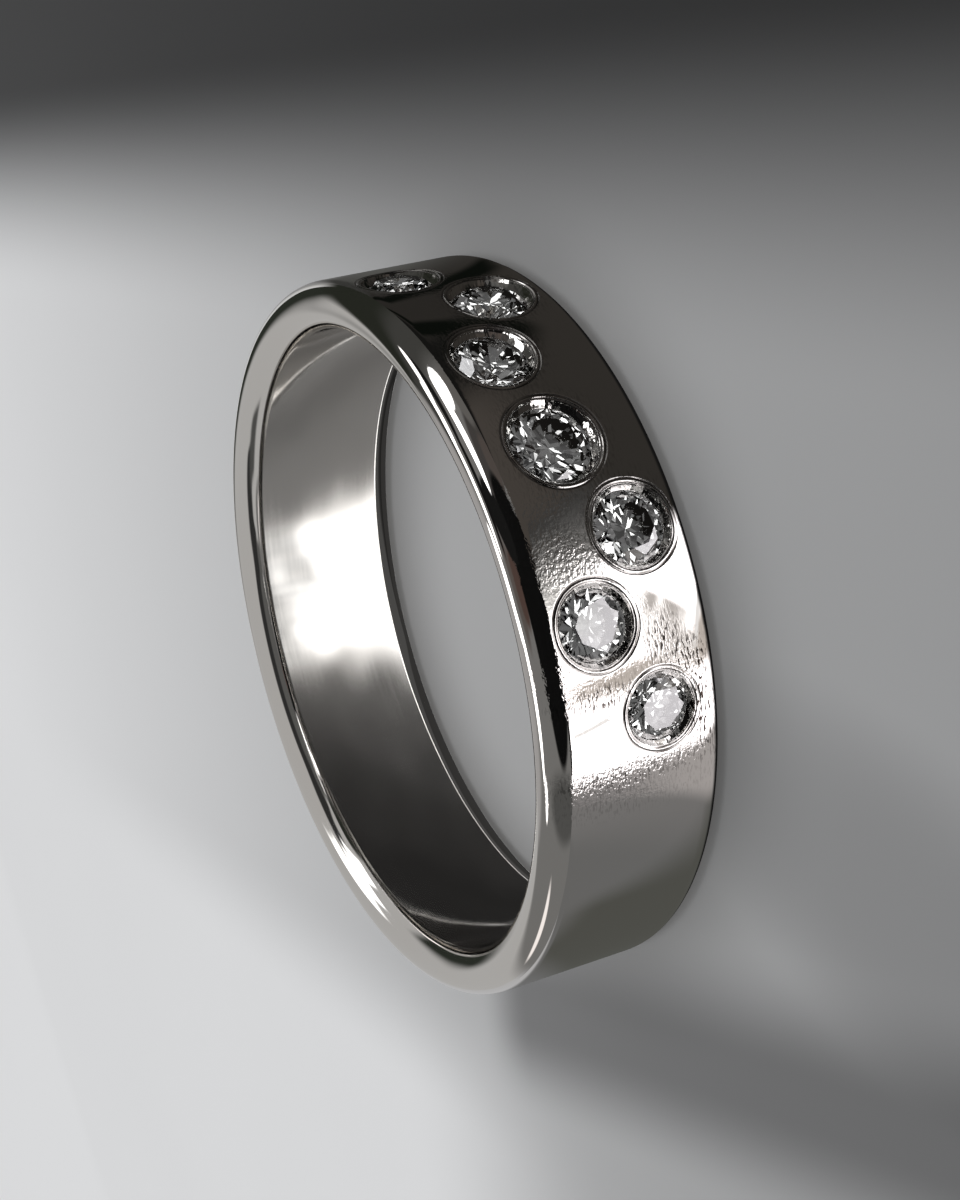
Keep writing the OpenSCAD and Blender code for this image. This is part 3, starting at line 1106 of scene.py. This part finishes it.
def direction(azimuth, elevation):
    """The unit vector at an azimuth from +X and an elevation above the surface, in degrees."""
    a, e = np.radians([azimuth, elevation])
    return Vector((np.cos(a) * np.cos(e), np.sin(a) * np.cos(e), np.sin(e)))


def studio_world():
    """The studio round the ring. Polish sees pale walls with soft boxes, stones see a cloudy light,
    the surface gets an even fill, and the camera sees a plain pale backdrop."""
    world = bpy.data.worlds.new("studio")
    world.use_nodes = True
    tree = world.node_tree
    sight = add(tree, "TexCoord").outputs["Generated"]
    parts = add(tree, "SeparateXYZ", {0: sight}).outputs
    panel = panel_group()
    total = WALLS
    for azimuth, elevation, lean, width, height, softness, colour in PANELS:
        facing = direction(azimuth, elevation)
        turn = Matrix.Rotation(np.radians(lean), 3, facing)
        up = turn @ direction(azimuth, elevation + 90)
        sockets = {"Direction": sight, "Facing": facing, "Side": up.cross(facing), "Up": up}
        sockets |= {"Half Width": width, "Half Height": height, "Softness": softness}
        mask = add(tree, "Group", sockets, node_tree=panel).outputs["Mask"]
        total = blend(tree, mask, total, colour)
    rays = add(tree, "LightPath").outputs
    total = layer(tree, total, parts[2], 0.0, -0.08, lower_light(tree, sight, parts))
    cloudy = colour_stops(tree, noise(tree, sight, 2.0, 1.0), 0.30, 0.70, SPARKLE, "LINEAR")
    total = blend(tree, rays["Is Transmission Ray"], total, cloudy)
    total = blend(tree, own_light(tree), STRAY_LIGHT, total)
    polish = maths(tree, "MAXIMUM", rays["Is Glossy Ray"], rays["Is Transmission Ray"])
    seen = blend(tree, rays["Is Camera Ray"], FILL_LIGHT, BACKDROP)
    background = tree.nodes["Background"]
    tree.links.new(blend(tree, polish, seen, total), background.inputs["Color"])
    return world


def only_for(thing, **rays):
    """Lets only the named kinds of rays see a thing."""
    for kind in ("camera", "diffuse", "glossy", "transmission", "volume_scatter", "shadow"):
        setattr(thing, f"visible_{kind}", rays.get(kind, False))


# The roof over the ring's near edge: patches of light as degrees round the ring and degrees of lift
# from level outwards, half sizes of both, how far the patch leans, softness and colour
ROOF_PATCHES = [
    (-153, 20, 8, 50, 0, 0.6, (0.09, 0.09, 0.088)),
    (-187, 33, 19, 4.5, 48, 0.5, (1.15, 1.08, 1.06)),
    (-84, 16, 12, 34, 12, 0.3, (0.060, 0.056, 0.054)),
    (-68, 2, 8, 16, 0, 0.4, (0.13, 0.125, 0.12)),
    (-84, 3, 6, 16, 0, 0.5, (0.085, 0.072, 0.066)),
    (-108, 88, 13, 13, 0, 0.5, (0.11, 0.095, 0.088)),
    (-108, 71, 9, 14, 0, 0.5, (0.085, 0.055, 0.047)),
    (-115, 22, 29, 40, -4, 0.10, 0.005),
    (-112, -5, 16, 22, 0, 0.10, 0.005),
    (-94, 62, 9, 24, -12, 0.20, 0.010),
    (-84, 86, 17, 6.5, -14, 0.25, 0.008),
    (-61, 73, 17, 6.5, -42, 0.25, 0.010),
    (-54, 113, 22, 7, -12, 0.5, (0.055, 0.055, 0.053)),
    (-158, 93, 8, 5, 55, 0.3, (2.2, 2.15, 2.15)),
    (-133, 112, 24, 7, 21, 0.18, (3.6, 3.55, 3.55)),
    (-105, 125, 16, 9, 5, 0.18, (3.6, 3.55, 3.55)),
    (-79, 107, 20, 6, -5, 0.18, (3.4, 3.35, 3.35)),
    (-60, 98, 13, 6.5, -38, 0.18, (3.2, 3.15, 3.15)),
    (-51, 80, 17, 4.5, -64, 0.20, (2.4, 2.35, 2.35)),
    (-74, 51, 15, 9, -14, 0.14, (3.4, 3.4, 3.45)),
    (-64, 36, 6, 19, 0, 0.16, (3.2, 3.2, 3.25)),
]
# Radius of the roof's tube, the height of its middle, and where it starts and ends round the ring
ROOF_R = 5.0
ROOF_Z = MID_Z + FLAT
ROOF_START = -212.0
ROOF_END = -6.0


def roof_card():
    """Part of a tube round the ring's near edge: from a point of the edge's middle circle, the lift
    turns a radius up and over, and the tube is drawn out round the ring."""
    along, lift = np.meshgrid(np.linspace(ROOF_START, ROOF_END, 104), np.linspace(-8, 166, 60))
    a, e = np.radians(along), np.radians(lift)
    radius = EDGE_MID_R + ROOF_R * np.cos(e)
    points = [radius * np.cos(a), radius * np.sin(a), ROOF_Z + ROOF_R * np.sin(e)]
    card = sheet("roof", np.stack(points, -1))
    point_values(card, "along", along.ravel())
    point_values(card, "lift", lift.ravel())
    return card


def patch_group():
    """A soft edged, leaning ellipse. The offsets from its middle are turned by the lean and divided
    by the half sizes, and their distance is compared with 1."""
    labels = [start + end for start in ("", "Middle ", "Half ") for end in ("Along", "Lift")]
    sockets = dict.fromkeys([*labels, "Lean", "Softness"], 1.0)
    group, given, result = new_group("soft patch", sockets, ["Mask"])
    x = maths(group, "SUBTRACT", given["Along"], given["Middle Along"])
    y = maths(group, "SUBTRACT", given["Lift"], given["Middle Lift"])
    cos, sin = maths(group, "COSINE", given["Lean"]), maths(group, "SINE", given["Lean"])
    u = scaled(group, x, cos, times(group, y, sin))
    v = maths(group, "SUBTRACT", times(group, y, cos), times(group, x, sin))
    u = maths(group, "DIVIDE", u, given["Half Along"])
    v = maths(group, "DIVIDE", v, given["Half Lift"])
    inside = maths(group, "SUBTRACT", 1.0, from_middle(group, u, v))
    inside = maths(group, "DIVIDE", inside, given["Softness"])
    group.links.new(ramp(group, inside, -0.5, 0.5), result["Mask"])
    return group


def roof_material():
    """The roof's light. It is seen from below only, and fades out at both ends."""
    material, tree, glow, surface = glow_material("roof")
    along, lift = stored(tree, "along"), stored(tree, "lift")
    light = layer(tree, (0.19, 0.188, 0.185), along, -66.0, -52.0, (0.055, 0.055, 0.052))
    light = layer(tree, light, along, -44.0, -32.0, (0.022, 0.024, 0.019))
    light = layer(tree, light, lift, 112.0, 136.0, (0.40, 0.39, 0.39))
    patch = patch_group()
    for middle, high, wide, tall, lean, softness, colour in ROOF_PATCHES:
        sockets = {"Along": along, "Lift": lift, "Middle Along": middle, "Middle Lift": high}
        sockets |= {"Half Along": wide, "Half Lift": tall, "Lean": np.radians(lean), "Softness": softness}
        mask = add(tree, "Group", sockets, node_tree=patch).outputs["Mask"]
        light = blend(tree, mask, light, colour)
    tree.links.new(blend(tree, own_light(tree), STRAY_LIGHT, light), glow.inputs["Color"])
    clear = add(tree, "BsdfTransparent").outputs[0]
    above = add(tree, "NewGeometry").outputs["Backfacing"]
    ends = ramp(tree, along, ROOF_START, ROOF_START + 12), ramp(tree, along, ROOF_END, ROOF_END - 10)
    shown = times(tree, *ends, maths(tree, "SUBTRACT", 1.0, above))
    mix = add(tree, "MixShader", {0: shown, 1: clear, 2: glow.outputs[0]}).outputs[0]
    tree.links.new(mix, surface)
    return material


class RING_OT_studio(bpy.types.Operator):
    """Sets up the pale surface, the reflecting card, the soft light and the camera"""

    bl_idname = "ring.studio"
    bl_label = "Set up the studio"

    def execute(self, context):
        scene = context.scene
        looks = scene.ring_looks
        floor = plane_grid("board", BOARD_HALF, 31)
        only_for(floor, camera=True, diffuse=True, shadow=True)
        card = ring_grid("card", *CARD_R, CARD_LEVEL, 24, 96)
        only_for(card, glossy=True)
        roof = roof_card()
        only_for(roof, glossy=True)
        materials = board_material(looks), card_material(), roof_material()
        for thing, material in zip((floor, card, roof), materials):
            thing.data.materials.append(material)
        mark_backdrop(floor, card, roof)
        light = bpy.data.lights.new("key", "SUN")
        light.angle = np.radians(KEY_WIDTH)
        light.energy = looks.key_strength
        key = bpy.data.objects.new("key", light)
        key.rotation_euler = direction(*KEY_FROM).to_track_quat("Z", "Y").to_euler()
        only_for(key, diffuse=True)
        scene.collection.objects.link(key)
        scene.world = studio_world()
        lens = bpy.data.cameras.new("camera")
        lens.sensor_width = SENSOR_WIDTH
        lens.lens = FOCAL_LENGTH
        lens.clip_start, lens.clip_end = 0.001, 5.0
        camera = bpy.data.objects.new("camera", lens)
        camera.matrix_world = CAMERA
        scene.collection.objects.link(camera)
        scene.camera = camera
        scene.view_settings.view_transform = "Standard"
        return {"FINISHED"}


# The camera's right, up and backward directions and its place, from the fit to the photo
CAMERA = Matrix(
    (
        (-0.3855715, 0.8555596, -0.3454741, -0.0219719),
        (-0.2771678, -0.4645310, -0.8410642, -0.0547396),
        (-0.8800640, -0.2285361, 0.4162435, 0.0284671),
        (0, 0, 0, 1),
    )
)


class RING_PT_looks(bpy.types.Panel):
    """Lists the ring's settings and building steps in the 3D view's sidebar"""

    bl_idname = "RING_PT_looks"
    bl_label = "Band ring"
    bl_space_type = "VIEW_3D"
    bl_region_type = "UI"
    bl_category = "Ring"

    def draw(self, context):
        looks = context.scene.ring_looks
        for name in RingLooks.__annotations__:
            self.layout.prop(looks, name)
        for operator in OPERATORS:
            self.layout.operator(operator.bl_idname)


OPERATORS = (RING_OT_band, RING_OT_stones, RING_OT_studio)
CLASSES = (RingLooks, *OPERATORS, RING_PT_looks)


def register():
    """Registers the classes and hangs the settings on the scene."""
    for kind in CLASSES:
        bpy.utils.register_class(kind)
    bpy.types.Scene.ring_looks = bpy.props.PointerProperty(type=RingLooks)


def unregister():
    """Takes the settings and the classes away again."""
    del bpy.types.Scene.ring_looks
    for kind in reversed(CLASSES):
        bpy.utils.unregister_class(kind)


def main():
    """Builds everything in order."""
    register()
    bpy.ops.ring.band()
    bpy.ops.ring.stones()
    bpy.ops.ring.studio()
    boxes = {"cad": CAD_BOX, "visual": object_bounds()}
    boxes = {name: [list(corner) for corner in box] for name, box in boxes.items()}


if __name__ == "__main__":
    main()
